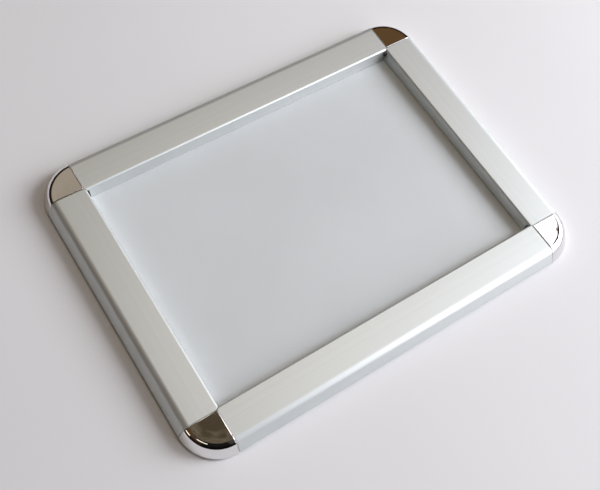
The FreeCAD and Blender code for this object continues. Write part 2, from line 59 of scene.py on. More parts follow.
def linear(code: str) -> tuple[float, float, float, float]:
    """Turn an sRGB hex colour into linear RGBA.

    Args:
        code: colour such as "#C4C5BE".

    Returns:
        Red, green, blue and an alpha of 1.
    """
    parts = [int(code[i:i + 2], 16) / 255 for i in (1, 3, 5)]
    red, green, blue = [c / 12.92 if c <= 0.04045 else ((c + 0.055) / 1.055) ** 2.4 for c in parts]
    return red, green, blue, 1.0


def toned(code: str, share: float) -> tuple[float, float, float, float]:
    """Turn an sRGB hex colour into linear RGBA and make it darker or lighter.

    Args:
        code: colour such as "#C4C5BE".
        share: factor on red, green and blue, none of which goes past 1.

    Returns:
        Red, green, blue and an alpha of 1.
    """
    red, green, blue = [min(1.0, share * c) for c in linear(code)[:3]]
    return red, green, blue, 1.0


def add(tree: Tree, kind: str, settings: dict[str, Any] | None = None, **inputs: Any) -> Node:
    """Add one node with its settings, values and links.

    Args:
        tree: node tree to add to.
        kind: node type without its ShaderNode prefix.
        settings: attributes of the node.
        **inputs: socket name with spaces as underscores, or iN for the input at place N; a value or a socket.

    Returns:
        The new node.
    """
    node = tree.nodes.new("ShaderNode" + kind)
    for name, setting in (settings or {}).items():
        setattr(node, name, setting)
    for name, given in inputs.items():
        socket = node.inputs[int(name[1:])] if name[1:].isdigit() else node.inputs[name.replace("_", " ")]
        if isinstance(given, bpy.types.NodeSocket):
            tree.links.new(given, socket)
        else:
            socket.default_value = given
    return node


def ramp(tree: Tree, factor: bpy.types.NodeSocket, stops: Sequence[tuple[float, tuple]]) -> bpy.types.NodeSocket:
    """Add a colour ramp.

    Args:
        tree: node tree to add to.
        factor: socket that drives the ramp.
        stops: pairs of position and linear colour, in rising order.

    Returns:
        The colour socket of the ramp.
    """
    node = add(tree, "ValToRGB", Fac=factor)
    elements = node.color_ramp.elements
    node.color_ramp.interpolation = "LINEAR"
    while len(elements) < len(stops):
        elements.new(0.5)
    for element, (place, colour) in zip(elements, stops):
        element.position = place
        element.color = colour
    return node.outputs["Color"]


def new_material(name: str) -> tuple[bpy.types.Material, Tree, Node]:
    """Start a node material.

    Args:
        name: what the real material is called.

    Returns:
        The material, its tree and its principled shader, already joined to the output.
    """
    material = bpy.data.materials.new(name)
    material.use_nodes = True
    tree = material.node_tree
    tree.nodes.clear()
    shader = add(tree, "BsdfPrincipled")
    add(tree, "OutputMaterial", Surface=shader.outputs["BSDF"])
    return material, tree, shader


class Along(Enum):
    """Which way the streaks of a drawn profile run."""

    MAP = "map"
    X = "x"
    Y = "y"


@dataclass(frozen=True)
class AnodisedAluminium:
    """Satin anodised aluminium: a drawn profile, matt etched, so it shows faint long die lines and a soft grain.

    The oxide layer on the etched metal scatters part of the light, the rest is a wide metallic gloss. Die lines
    and grain of the real metal are a few hundredths of a millimetre wide and are drawn coarser, so that they show.
    """

    colour: str = "#D9DDDC"
    tones: tuple[float, float] = (0.95, 1.03)  # darkest and lightest die line, as shares of the colour
    roughness: float = 0.50
    uneven: float = 0.03  # how far a die line's roughness lies off it
    scatter: float = 0.18  # share of the light that the oxide scatters
    die_line: float = 0.55  # millimetres, as are the three below
    streak_length: float = 260.0
    grain: float = 0.22
    relief: float = 0.02

    def material(self, along: Along) -> bpy.types.Material:
        """Build the material.

        Args:
            along: where the direction of the die lines comes from.

        Returns:
            The material.
        """
        made, tree, shader = new_material("anodised_aluminium_" + along.value)
        place = add(tree, "TexCoord").outputs["UV" if along is Along.MAP else "Object"]
        fine = 1 / (self.die_line * MM)
        slow = 1 / (self.streak_length * MM)
        stretch = (fine, slow, fine) if along is Along.Y else (slow, fine, fine)
        lines = add(tree, "Mapping", Vector=place, Scale=stretch).outputs["Vector"]
        streaks = add(tree, "TexNoise", Vector=lines, Scale=1.0, Detail=3.0, Roughness=0.6)
        broad = add(tree, "TexNoise", Vector=lines, Scale=0.17, Detail=1.0)
        speck = add(tree, "TexNoise", Vector=place, Scale=1 / (self.grain * MM), Detail=2.0)
        mixed = add(tree, "MixRGB", Fac=0.35, Color1=streaks.outputs["Fac"], Color2=broad.outputs["Fac"])
        low, high = [toned(self.colour, tone) for tone in self.tones]
        tree.links.new(ramp(tree, mixed.outputs["Color"], ((0.3, low), (0.7, high))), shader.inputs["Base Color"])
        rough = add(tree, "MapRange", Value=mixed.outputs["Color"], To_Min=self.roughness - self.uneven,
                    To_Max=self.roughness + self.uneven)
        tree.links.new(rough.outputs["Result"], shader.inputs["Roughness"])
        relief = add(tree, "MixRGB", Fac=0.4, Color1=streaks.outputs["Fac"], Color2=speck.outputs["Fac"])
        bump = add(tree, "Bump", Strength=0.10, Distance=self.relief * MM, Height=relief.outputs["Color"])
        tree.links.new(bump.outputs["Normal"], shader.inputs["Normal"])
        shader.inputs["Metallic"].default_value = 1.0 - self.scatter
        return made


@dataclass(frozen=True)
class ChromedPlastic:
    """Bright chrome on moulded plastic: a mirror with the faint slow ripple of the moulding under it.

    The polishing marks of the real chrome are finer than half a millimetre and only vary its gloss a little.
    """

    colour: str = "#EDECEC"
    worn: float = 0.94  # share of the colour where the polish is worn
    roughness: float = 0.03
    uneven: tuple[float, float] = (0.6, 1.6)  # least and most roughness, as shares of it
    ripple: float = 7.0  # millimetres, as are the two below
    ripple_depth: float = 0.08
    polish: float = 0.5

    def material(self) -> bpy.types.Material:
        """Build the material, its ripple and polish marks in real sizes."""
        made, tree, shader = new_material("chromed_plastic")
        place = add(tree, "TexCoord").outputs["Object"]
        wave = add(tree, "TexNoise", Vector=place, Scale=1 / (self.ripple * MM), Detail=1.0)
        marks = add(tree, "TexNoise", Vector=place, Scale=1 / (self.polish * MM), Detail=3.0)
        rough = add(tree, "MapRange", Value=marks.outputs["Fac"], To_Min=self.roughness * self.uneven[0],
                    To_Max=self.roughness * self.uneven[1])
        tree.links.new(rough.outputs["Result"], shader.inputs["Roughness"])
        bump = add(tree, "Bump", Strength=0.06, Distance=self.ripple_depth * MM, Height=wave.outputs["Fac"])
        tree.links.new(bump.outputs["Normal"], shader.inputs["Normal"])
        stops = ((0.35, toned(self.colour, self.worn)), (0.6, linear(self.colour)))
        tree.links.new(ramp(tree, marks.outputs["Fac"], stops), shader.inputs["Base Color"])
        shader.inputs["Metallic"].default_value = 1.0
        return made


@dataclass(frozen=True)
class ZincPlatedSteel:
    """Zinc plated steel of keys, springs and screws: grey metal with the cloudy spangle of the bath."""

    name: str = "zinc_plated_steel"
    colour: str = "#A9ABAD"
    roughness: float = 0.34
    spangle: float = 2.5  # millimetres
    dark: float = 0.72  # share of the colour in the darkest cells
    uneven: float = 0.1

    def material(self) -> bpy.types.Material:
        """Build the material, its spangle in real size."""
        made, tree, shader = new_material(self.name)
        place = add(tree, "TexCoord").outputs["Object"]
        cells = add(tree, "TexVoronoi", Vector=place, Scale=1 / (self.spangle * MM))
        cloud = add(tree, "TexNoise", Vector=place, Scale=1 / (3 * self.spangle * MM), Detail=3.0)
        mixed = add(tree, "MixRGB", Fac=0.5, Color1=cells.outputs["Color"], Color2=cloud.outputs["Fac"])
        stops = ((0.25, toned(self.colour, self.dark)), (0.7, linear(self.colour)))
        tree.links.new(ramp(tree, mixed.outputs["Color"], stops), shader.inputs["Base Color"])
        rough = add(tree, "MapRange", Value=cloud.outputs["Fac"], To_Min=self.roughness - self.uneven,
                    To_Max=self.roughness + self.uneven)
        tree.links.new(rough.outputs["Result"], shader.inputs["Roughness"])
        shader.inputs["Metallic"].default_value = 1.0
        return made


@dataclass(frozen=True)
class BackBoard:
    """Matt light grey polystyrene board: rolled sheet with a very fine leathery grain."""

    colour: str = "#F8FAFA"
    low: float = 0.95  # share of the colour where the sheet is greyest
    roughness: float = 0.62
    grain: float = 0.8  # millimetres, as are the two below
    grain_depth: float = 0.03
    cloud: float = 90.0

    def material(self) -> bpy.types.Material:
        """Build the material, its grain in real size."""
        made, tree, shader = new_material("polystyrene_board")
        place = add(tree, "TexCoord").outputs["Object"]
        grain = add(tree, "TexNoise", Vector=place, Scale=1 / (self.grain * MM), Detail=4.0)
        cloud = add(tree, "TexNoise", Vector=place, Scale=1 / (self.cloud * MM), Detail=2.0)
        stops = ((0.35, toned(self.colour, self.low)), (0.65, linear(self.colour)))
        tree.links.new(ramp(tree, cloud.outputs["Fac"], stops), shader.inputs["Base Color"])
        bump = add(tree, "Bump", Strength=0.12, Distance=self.grain_depth * MM, Height=grain.outputs["Fac"])
        tree.links.new(bump.outputs["Normal"], shader.inputs["Normal"])
        shader.inputs["Roughness"].default_value = self.roughness
        return made


@dataclass(frozen=True)
class AntiGlareSheet:
    """Clear PVC sheet with an etched face: mostly seen through, its gloss spread out by the etching.

    The real etching is far finer than a tenth of a millimetre and is drawn coarser, so that it shows.
    """

    colour: str = "#F0F5F7"
    low: float = 0.97  # share of the colour in the pits of the etching
    alpha: float = 0.30
    roughness: float = 0.38
    uneven: float = 0.04
    etching: float = 0.35  # millimetres

    def material(self) -> bpy.types.Material:
        """Build the material, its etching in real size."""
        made, tree, shader = new_material("anti_glare_pvc")
        place = add(tree, "TexCoord").outputs["Object"]
        etch = add(tree, "TexNoise", Vector=place, Scale=1 / (self.etching * MM), Detail=2.0)
        stops = ((0.3, toned(self.colour, self.low)), (0.7, linear(self.colour)))
        tree.links.new(ramp(tree, etch.outputs["Fac"], stops), shader.inputs["Base Color"])
        rough = add(tree, "MapRange", Value=etch.outputs["Fac"], To_Min=self.roughness - self.uneven,
                    To_Max=self.roughness + self.uneven)
        tree.links.new(rough.outputs["Result"], shader.inputs["Roughness"])
        shader.inputs["Alpha"].default_value = self.alpha
        return made


def arc(centre: tuple[float, float], radius: float, start: float, end: float, count: int) -> Points:
    """Points on a circular arc.

    Args:
        centre: centre of the arc.
        radius: its radius.
        start: first angle in degrees from the first axis.
        end: last angle in degrees.
        count: number of steps.

    Returns:
        Array of count + 1 points: centre plus radius times (cos, sin) of evenly spaced angles.
    """
    angle = np.radians(np.linspace(start, end, count + 1))
    return np.stack((centre[0] + radius * np.cos(angle), centre[1] + radius * np.sin(angle)), axis=1)


def inward(profile: Points) -> Points:
    """Unit vectors into a closed profile drawn counter-clockwise.

    Args:
        profile: corner points, one a row.

    Returns:
        For each point the left-hand side of the mean direction of its two edges.
    """
    along = np.roll(profile, -1, axis=0) - np.roll(profile, 1, axis=0)
    along /= np.maximum(np.linalg.norm(along, axis=1, keepdims=True), 1e-9)
    return np.stack((-along[:, 1], along[:, 0]), axis=1)


def area(profile: Points) -> float:
    """Signed area of a closed profile, positive where it is drawn counter-clockwise."""
    after = np.roll(profile, -1, axis=0)
    return float(np.sum(profile[:, 0] * after[:, 1] - after[:, 0] * profile[:, 1]) / 2)


def triangles(outline: Points) -> list[tuple[int, int, int]]:
    """Fill a closed flat outline with triangles.

    Args:
        outline: corner points, one a row.

    Returns:
        Triples of places in the outline, each turned counter-clockwise by the sign of its area.
    """
    found = []
    for a, b, c in tessellate_polygon([[Vector((p[0], p[1], 0)) for p in outline.tolist()]]):
        found.append((a, b, c) if area(outline[[a, b, c]]) > 0 else (a, c, b))
    return found


@dataclass
class Shell:
    """A closed surface under construction: vertices in metres, faces and a place on the map for each corner."""

    vertices: Points
    faces: list[tuple[int, ...]]
    places: Points

    def moved(self, turn: float, shift: tuple[float, float]) -> "Shell":
        """Turn the shell about Z by degrees, then shift it in millimetres."""
        angle = math.radians(turn)
        cos, sin = math.cos(angle), math.sin(angle)
        spun = self.vertices @ np.array(((cos, sin, 0), (-sin, cos, 0), (0, 0, 1)))
        return Shell(spun + np.array((shift[0] * MM, shift[1] * MM, 0)), self.faces, self.places)

    @staticmethod
    def joined(shells: Sequence["Shell"]) -> "Shell":
        """Put several closed shells into one."""
        starts = np.cumsum([0] + [len(s.vertices) for s in shells[:-1]])
        faces = [tuple(int(i + start) for i in face) for s, start in zip(shells, starts) for face in s.faces]
        return Shell(np.concatenate([s.vertices for s in shells]), faces, np.concatenate([s.places for s in shells]))

    def object(self, name: str, material: bpy.types.Material, sharp: float = 32.0) -> bpy.types.Object:
        """Make the mesh object, smooth except along creases.

        Args:
            name: name of the piece.
            material: its finish.
            sharp: angle in degrees past which an edge stays crisp.

        Returns:
            The object, at the origin, linked to the scene.
        """
        mesh = bpy.data.meshes.new(name)
        mesh.from_pydata(self.vertices.tolist(), [], self.faces)
        corners = np.empty(len(mesh.loops), np.int32)
        mesh.loops.foreach_get("vertex_index", corners)
        layer = mesh.uv_layers.new(name="along")
        layer.data.foreach_set("uv", self.places[corners].astype(np.float32).ravel())
        mesh.polygons.foreach_set("use_smooth", np.ones(len(mesh.polygons), bool))
        mesh.set_sharp_from_angle(angle=math.radians(sharp))
        mesh.materials.append(material)
        mesh.validate()
        made = bpy.data.objects.new(name, mesh)
        bpy.context.scene.collection.objects.link(made)
        return made


def drawn_bar(profile: Points, reach: Points, chamfer: float) -> Shell:
    """Carry a closed profile along X, each point to its own reach at both ends.

    The surface is x = s * reach(p), (y, z) = p for s from -1 to 1; at the last chamfer before each end the
    profile is drawn in by the same amount, and the ends are filled with triangles of the flat profile.

    Args:
        profile: closed section, counter-clockwise, in millimetres.
        reach: half length at every point of the profile, in millimetres.
        chamfer: size of the broken edge at the cut ends, in millimetres.

    Returns:
        The closed shell, mapped by the place along the bar and the way round the profile.
    """
    count = len(profile)
    drawn_in = profile + chamfer * inward(profile)
    stations = [(-1.0, 0.0, drawn_in), (-1.0, chamfer, profile), (1.0, chamfer, profile), (1.0, 0.0, drawn_in)]
    rings = [np.column_stack((side * (reach - back), section)) for side, back, section in stations]
    round_way = np.concatenate(((0.0,), np.cumsum(np.linalg.norm(np.diff(profile, axis=0), axis=1))))
    places = np.concatenate([np.column_stack((ring[:, 0], round_way)) for ring in rings]) * MM
    here = np.arange(count)
    after = np.roll(here, -1)
    faces = []
    for ring in range(len(rings) - 1):
        low, high = ring * count, (ring + 1) * count
        faces += [tuple(f) for f in np.stack((low + here, high + here, high + after, low + after), axis=1).tolist()]
    last = (len(rings) - 1) * count
    for front in triangles(drawn_in):
        faces.append(tuple(last + i for i in front))
        faces.append(front[::-1])
    return Shell(np.concatenate(rings) * MM, faces, places)


class Side(Enum):
    """The four sides: name, and the turn in degrees that takes a rail drawn along the bottom there."""

    BOTTOM = ("bottom", 0.0)
    TOP = ("top", 180.0)
    LEFT = ("left", -90.0)
    RIGHT = ("right", 90.0)

    @property
    def key(self) -> str:
        """Name of the side in the names of its pieces."""
        return self.value[0]

    @property
    def turn(self) -> float:
        """Turn of a rail that is drawn as the bottom one."""
        return self.value[1]

    @property
    def long(self) -> bool:
        """Whether the side runs along X."""
        return self in (Side.BOTTOM, Side.TOP)


class Corner(Enum):
    """The four corners: name, turn in degrees of a cap drawn at the top right, and the signs of its place."""

    TOP_RIGHT = ("top_right", 0.0, 1, 1)
    TOP_LEFT = ("top_left", 90.0, -1, 1)
    BOTTOM_LEFT = ("bottom_left", 180.0, -1, -1)
    BOTTOM_RIGHT = ("bottom_right", 270.0, 1, -1)


@dataclass(frozen=True)
class Layout:
    """Overall sizes of the frame in millimetres."""

    long_rail: float = 291.0
    short_rail: float = 204.0
    rail_width: float = 35.0  # from the outer edge to the tip of the lip
    face_width: float = 31.5  # from the outer edge to where the nose begins
    rail_height: float = 13.5

    def outer_edge(self, side: Side) -> tuple[float, float]:
        """Middle of a side's outermost line."""
        half_x = self.long_rail / 2 + self.face_width
        half_y = self.short_rail / 2 + self.face_width
        return {
            Side.BOTTOM: (0.0, -half_y),
            Side.TOP: (0.0, half_y),
            Side.LEFT: (-half_x, 0.0),
            Side.RIGHT: (half_x, 0.0),
        }[side]


@dataclass(frozen=True)
class Flap:
    """Snap flap: flat face, rounded shoulder, leaning wall that ends in the hinge claw, snap tail and leaning lip."""

    layout: Layout
    skin: float = 1.4  # thickness of face and wall
    slope: float = 28.8  # lean of the outer wall, degrees
    shoulder: float = 6.5  # radius between face and wall
    nose: float = 1.8  # radius at the window's edge
    nose_depth: float = 2.1
    undercut: float = 0.8  # how far the groove under the nose goes in
    lip_skin: float = 1.3
    lip_bottom: float = 3.2  # height of the lip's tip over the table
    hinge: tuple[float, float] = (2.0, 2.15)  # axis, from the outer edge and over the table
    claw: float = 2.0  # outer radius of the claw
    bore: float = 1.03  # inner radius of the claw, round the rail's bead
    mouth: float = 209.0  # where the claw ends, degrees
    tail_angle: float = 24.0
    tail_reach: float = 4.65
    tail_skin: float = 1.0
    mitre: float = 0.15  # start of the mitre before the nose
    notch: float = 3.7  # length cut off the lip at each end
    chamfer: float = 0.2  # broken edge of the cut ends

    def section(self) -> Points:
        """Closed outline of the section, counter-clockwise, from the outer edge inwards and upwards."""
        top = self.layout.rail_height
        under = top - self.skin
        lean = math.radians(self.slope)
        foot = 180 - self.slope
        wall_foot = (self.hinge[0] - self.claw * math.cos(lean), self.hinge[1] + self.claw * math.sin(lean))
        wall_top = wall_foot[0] + (top - wall_foot[1]) * math.tan(lean)
        bend = math.tan(math.radians((90 - self.slope) / 2))
        flat = wall_top + self.shoulder * bend
        inner = self.shoulder - self.skin
        edge = self.layout.face_width + self.nose
        groove = edge - self.undercut
        fold = top - self.nose_depth - self.undercut / 2
        tip = self.layout.rail_width
        half = math.degrees(math.asin(self.tail_skin / 2 / self.claw))
        ray = np.array((math.cos(math.radians(self.tail_angle)), math.sin(math.radians(self.tail_angle))))
        side = np.array((-ray[1], ray[0])) * self.tail_skin / 2
        end = np.array(self.hinge) + self.tail_reach * ray
        join = foot - math.degrees(math.acos((self.claw - self.skin) / self.claw))
        parts = [
            arc(self.hinge, self.claw, foot, self.mouth, 16),
            arc(self.hinge, self.bore, self.mouth, self.tail_angle - half, 40),
            arc(self.hinge, self.claw, self.tail_angle - half, self.tail_angle - half, 1)[:1],
            (end - side)[None], (end + side)[None],
            arc(self.hinge, self.claw, self.tail_angle + half, join, 10),
            arc((flat, top - self.shoulder), inner, foot, 90, 28),
            np.array(((groove - self.lip_skin, under), (groove - self.lip_skin, fold))),
            np.array(((tip - self.lip_skin, self.lip_bottom), (tip, self.lip_bottom))),
            np.array(((groove, fold), (edge, top - self.nose_depth))),
            arc((edge - self.nose, top - self.nose), self.nose, 0, 90, 18),
            arc((flat, top - self.shoulder), self.shoulder, 90, foot, 36),
        ]
        outline = np.concatenate(parts)
        apart = np.linalg.norm(outline - np.roll(outline, 1, axis=0), axis=1) > TINY
        outline = outline[apart]
        return outline if area(outline) > 0 else outline[::-1]

    def reach(self, section: Points, length: float) -> Points:
        """How far each point of the section runs along the rail: square, mitred at the nose, cut back at the lip.

        Args:
            section: outline of the flap.
            length: length of the flap's face.

        Returns:
            Half length at every point.
        """
        lean_in = np.maximum(section[:, 0] - self.layout.face_width + self.mitre, 0)
        half = length / 2 - lean_in
        floor = self.layout.rail_height - self.nose_depth
        lip = (section[:, 0] > self.layout.face_width - self.nose) & (section[:, 1] < floor - TINY)
        return np.where(lip, length / 2 - self.notch, half)

    def build(self, side: Side, finish: bpy.types.Material) -> bpy.types.Object:
        """Build one flap in place of the node of its name.

        Args:
            side: side of the frame.
            finish: material with die lines along the map's first axis.

        Returns:
            The flap, riding on its own body.
        """
        length = self.layout.long_rail if side.long else self.layout.short_rail
        section = self.section()
        bar = drawn_bar(section, self.reach(section, length), self.chamfer)
        bar = bar.moved(side.turn, self.layout.outer_edge(side))
        name = "flap_" + side.key
        made = bar.object(name + "_skin", finish)
        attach(made, name + "_body")
        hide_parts(name)
        return made


@dataclass(frozen=True)
class CornerCap:
    """Quarter-round cap: flat top, rounded edge, crease, leaning wall and upright foot, hollow underneath."""

    layout: Layout
    gap: float = 0.25  # between the cap and each flap
    proud: float = 0.4  # how far the top stands over the flaps
    skin: float = 1.5
    edge: float = 10.75  # from the outside to where the flat top ends
    rounding: float = 8.4  # radius of the rounded edge
    drop: float = 3.7  # height over which it bends
    sag: float = 0.16  # soft fall of the top towards its rounded edge
    sag_from: float = 13.0
    sag_run: float = 14.0
    toe: tuple[float, float] = (0.1, 2.2)  # top of the upright foot: inset and height
    lean: float = 0.77  # level thickness of the wall at its foot, as a share of skin
    rim: float = 0.35  # rounding along the straight sides
    floor: float = 4.2  # top of the corner key
    key: float = 12.6  # reach of the corner key
    foot: tuple[float, float] = (4.0, 1.0)  # top of the end walls' foot: its end inside the reach, its lap over the key
    plate_inset: float = 0.02  # keeps the end walls off the face of the rim
    post: tuple[float, float] = (3.3, 0.8)
    post_levels: tuple[float, float, float] = (3.1, 6.9, 11.2)
    post_round: float = 0.9
    boss: float = 3.5
    screw: float = 8.4  # place of the boss on both axes
    turns: int = 72
    crease: float = 28.0  # edges that bend more stay crisp, degrees

    def outside(self) -> tuple[float, float]:
        """Reach of the cap and height of its top."""
        return self.layout.face_width - self.gap, self.layout.rail_height + self.proud

    def profile(self, inset: float) -> Points:
        """Half section from the axis along the top and down to the foot.

        Args:
            inset: how far the line lies inside the outer one.

        Returns:
            Points as distance from the axis and height.
        """
        reach, top = self.outside()
        flat = reach - self.edge
        radius = self.rounding - inset
        low = math.degrees(math.asin((self.rounding - self.drop) / self.rounding))
        bend = arc((flat, top - self.rounding), radius, 90, low, 40)
        straight = np.linspace((0.0, top - inset), (flat, top - inset), 48)[:-1]
        crown = np.concatenate((straight, bend))
        near = np.clip((crown[:, 0] - self.sag_from) / self.sag_run, 0, 1)
        crown[:, 1] -= self.sag * near * near * (3 - 2 * near)
        toe = (reach - self.toe[0] - self.lean * inset, self.toe[1])
        wall = np.linspace(crown[-1], toe, 10)[1:]
        return np.concatenate((crown, wall, ((reach - self.lean * inset, 0.0),)))

    def dome(self) -> Shell:
        """The rounded shell: an outer and an inner skin of revolution, joined along the rims and the foot.

        The outer skin is p(s) turned by t about the axis; within the rim's rounding of a straight side it
        sinks along the skin's normal by rim - sqrt(rim^2 - (rim - d)^2), d being the distance from that side.
        """
        outer = self.profile(0.0)
        inner = self.profile(self.skin)
        angle = np.radians(np.linspace(0, 90, self.turns + 1))
        rims = np.array(RIM_STEPS) * self.rim
        rows = []
        for line, rounded in ((outer, True), (inner[::-1], False)):
            radius = np.maximum(line[:, 0], TINY)
            low = np.arcsin(np.minimum(rims[:, None] / radius[None], 1.0))
            low = np.minimum(low, math.pi / 4)
            middle = np.linspace(low[-1], math.pi / 2 - low[-1], self.turns - 1)
            turn = np.concatenate((low, middle[1:-1], math.pi / 2 - low[::-1]))
            x, y = radius * np.cos(turn), radius * np.sin(turn)
            near = np.minimum(x, y)
            if rounded:
                depth = np.clip(self.rim - near, 0, self.rim)
                sink = self.rim - np.sqrt(np.maximum(self.rim ** 2 - depth ** 2, 0))
                along = np.gradient(line, axis=0)
                along /= np.linalg.norm(along, axis=1, keepdims=True)
                normal = np.stack((-along[:, 1], along[:, 0]), axis=1)
                shift = sink * (line[None, :, 1] > TINY)
                radius = radius - shift * normal[None, :, 0]
                height = line[None, :, 1] - shift * normal[None, :, 1]
                x, y = radius * np.cos(turn), radius * np.sin(turn)
            else:
                height = np.broadcast_to(line[None, :, 1], x.shape)
            rows.append(np.stack((x, y, height), axis=2))
        grid = np.concatenate(rows, axis=1)
        stations, count = grid.shape[:2]
        vertices = grid.reshape(-1, 3)
        here = np.arange(count)
        after = np.roll(here, -1)
        faces = []
        for row in range(stations - 1):
            low, high = row * count, (row + 1) * count
            quads = np.stack((low + here, low + after, high + after, high + here), axis=1)
            faces += [tuple(q) for q in quads.tolist()]
        half = len(outer)
        for row, flip in ((0, False), (stations - 1, True)):
            start = row * count
            for i in range(half - 1):
                quad = (start + i, start + count - 1 - i, start + count - 2 - i, start + i + 1)
                faces.append(quad[::-1] if flip else quad)
        return Shell(vertices * MM, faces, vertices[:, :2] * MM)

    def block(self, corners: Points, low: float, high: float) -> Shell:
        """A closed prism over a plan drawn counter-clockwise.

        Args:
            corners: plan in millimetres.
            low: its underside.
            high: its top.

        Returns:
            The prism.
        """
        count = len(corners)
        rings = [np.column_stack((corners, np.full(count, level))) for level in (low, high)]
        vertices = np.concatenate(rings)
        faces = [(i, (i + 1) % count, count + (i + 1) % count, count + i) for i in range(count)]
        faces += [tuple(range(count - 1, -1, -1)), tuple(range(count, 2 * count))]
        return Shell(vertices * MM, faces, vertices[:, :2] * MM)

    def build(self, corner: Corner, finish: bpy.types.Material) -> bpy.types.Object:
        """Build one cap in place of the node of its name.

        Args:
            corner: corner of the frame.
            finish: chrome.

        Returns:
            The cap, riding on the frame.
        """
        name, turn, along_x, along_y = corner.value
        place = (along_x * (self.layout.long_rail / 2 + self.gap), along_y * (self.layout.short_rail / 2 + self.gap))
        shells = [self.dome()] + self.walls()
        made = Shell.joined(shells).moved(turn, place).object("corner_cap_%s_shell" % name, finish, self.crease)
        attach(made, "frame")
        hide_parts("corner_cap_" + name)
        return made

    def walls(self) -> list[Shell]:
        """End walls, post and screw boss under the dome."""
        reach, top = self.outside()
        under = top - self.skin
        line = self.profile(self.skin / 2)
        outline = line[line[:, 1] > self.floor]
        outline = np.concatenate((((0.0, self.floor),), ((0.0, under + self.skin / 2),), outline[1:],
                                  ((float(np.interp(-self.floor, -line[:, 1], line[:, 0])), self.floor),)))
        low = line[line[:, 0] > self.key]
        step = self.floor + self.foot[1]
        foot = np.concatenate((((self.key, 0.0),), ((self.key, step),), ((reach - self.foot[0], step),),
                               low[low[:, 1] < step]))
        shells = []
        for plan in (outline, foot):
            for flip in (False, True):
                shells.append(self.plate(plan, flip))
        post = self.post[0] + self.gap
        for inner, low_level, high_level in zip((post, post - self.post[1]), self.post_levels, self.post_levels[1:]):
            shells.append(self.block(self.rounded_post(inner), low_level, high_level))
        ring = arc((self.screw, self.screw), self.boss, 0, 360, 40)[:-1]
        shells.append(self.block(ring, self.floor, under + self.skin / 2))
        return shells

    def rounded_post(self, inner: float) -> Points:
        """Plan of the corner post: square, its edge towards the window rounded."""
        middle = self.post_round - inner
        edge = arc((middle, middle), self.post_round, 180, 270, 10)
        return np.concatenate((((self.skin, -inner), (self.skin, self.skin), (-inner, self.skin)), edge))

    def plate(self, outline: Points, flip: bool) -> Shell:
        """An end wall: an outline in the upright plane of one straight side, given the wall's thickness."""
        turned = outline if area(outline) > 0 else outline[::-1]
        count = len(turned)
        near = np.column_stack((turned[:, 0], np.full(count, self.plate_inset), turned[:, 1]))
        far = np.column_stack((turned[:, 0], np.full(count, self.skin), turned[:, 1]))
        vertices = np.concatenate((near, far))
        faces = [(i, count + i, count + (i + 1) % count, (i + 1) % count)[::-1] for i in range(count)]
        for front in triangles(turned):
            faces.append(front)
            faces.append(tuple(count + i for i in front[::-1]))
        if flip:
            vertices = vertices[:, (1, 0, 2)]
            faces = [face[::-1] for face in faces]
        return Shell(vertices * MM, faces, vertices[:, :2] * MM)


class Hidden:
    """Parts under the flaps and in the window that keep their own solids and get their finishes."""

    def dress(self) -> None:
        """Give every shown node its material."""
        along_x = AnodisedAluminium().material(Along.X)
        along_y = AnodisedAluminium().material(Along.Y)
        zinc = ZincPlatedSteel().material()
        spring = ZincPlatedSteel("tempered_spring_steel", "#7F8083", 0.3, 1.2).material()
        board = BackBoard().material()
        clear = AntiGlareSheet().material()
        finishes = {
            "base_rail_bottom": along_x, "base_rail_top": along_x,
            "base_rail_left": along_y, "base_rail_right": along_y,
            "corner_key": zinc, "cap_screws": zinc, "spring": spring,
            "back_panel": board, "cover_sheet": clear,
        }
        for name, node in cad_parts.items():
            for start, finish in finishes.items():
                if name.startswith(start):
                    node.data.materials.clear()
                    node.data.materials.append(finish)
                    LOG.info("%s: %s", name, finish.name)


@dataclass(frozen=True)
class Viewpoint:
    """Camera of the photograph, worked out from the frame's corners and edges."""

    place: tuple[float, float, float] = (-0.238945, -0.247683, 0.611202)
    right: tuple[float, float, float] = (0.836987, -0.538786, 0.095721)
    up: tuple[float, float, float] = (0.446501, 0.773531, 0.449764)
    focal_pixels: float = 875.65
    image_width: float = 600.0
    sensor: float = 36.0  # millimetres

    def build(self) -> None:
        """Make the scene's camera."""
        data = bpy.data.cameras.new("viewpoint")
        data.sensor_width = self.sensor
        data.lens = self.focal_pixels * self.sensor / self.image_width
        camera = bpy.data.objects.new("viewpoint", data)
        right, up = Vector(self.right).normalized(), Vector(self.up).normalized()
        turn = Matrix((right, up, right.cross(up))).transposed()
        camera.matrix_world = Matrix.Translation(self.place) @ turn.to_4x4()
        bpy.context.scene.collection.objects.link(camera)
        bpy.context.scene.camera = camera


class Wall(Enum):
    """Walls round the table: azimuths in degrees where each starts and ends, colour low down and higher up."""

    CURTAIN = (-180.0, -152.0, "#241A12", "#4E4136")
    DARK_DOOR = (-152.0, -92.0, "#0E0D0D", "#1A1918")
    SHELF = (-92.0, -72.0, "#242220", "#45413D")
    WINDOW_SIDE = (-72.0, 24.0, "#A9A4B8", "#B4B2BE")
    BROWN_PANEL = (24.0, 62.0, "#18140F", "#62492F")
    TAN_PANEL = (62.0, 141.0, "#241C13", "#A59A8A")
    LEFT_END = (141.0, 180.0, "#2A1D11", "#554030")

    def stops(self, high: bool, soft: float = 3.0) -> list[tuple[float, tuple]]:
        """Two stops of a ramp over the full turn, drawn in from the wall's ends by a few degrees."""
        start, end, *colours = self.value
        return [((turn + 180) / 360, linear(colours[high])) for turn in (start + soft, end - soft)]


